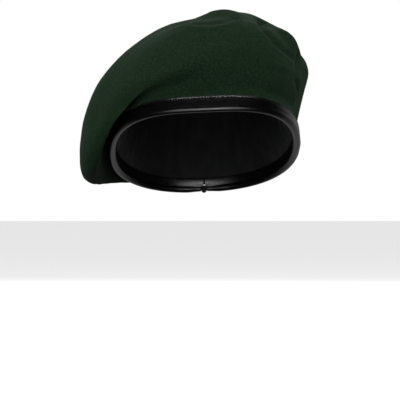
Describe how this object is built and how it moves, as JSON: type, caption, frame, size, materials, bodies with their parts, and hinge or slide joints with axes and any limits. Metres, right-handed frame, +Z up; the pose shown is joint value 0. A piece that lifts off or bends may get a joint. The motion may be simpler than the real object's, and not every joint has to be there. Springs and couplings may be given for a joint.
{
  "type": "beret",
  "caption": "Dark green military wool beret in its worn shape, draped to the wearer's right, with a black leather binding, drawstring and lining.",
  "frame": {"origin": "centre of the head opening, in the plane of the binding's lower edge", "axes": "+Z up as worn, the front faces -Y, +X is the wearer's left and the crown drapes towards -X"},
  "size_m": [0.193, 0.2168, 0.1521],
  "materials": {
    "felt": "fulled wool, matt with a short nap",
    "leather": "finished black leather, semi-gloss",
    "satin": "black satin lining",
    "thread": "black sewing thread",
    "cord": "black braided cotton",
    "board": "pressed fibre board",
    "metal": "black enamelled brass",
    "label": "blank woven tape"
  },
  "bodies": {
    "root": {"felt_crown": "felt", "edge_binding": "leather", "binding_thread": "thread", "drawstring": "cord", "lining_side_panel": "satin", "lining_crown_panel": "satin", "lining_thread": "thread", "badge_stiffener": "board", "eyelet_rear": "metal", "eyelet_washer_rear": "metal", "eyelet_front": "metal", "eyelet_washer_front": "metal", "size_label": "label"}
  },
  "joints": []
}
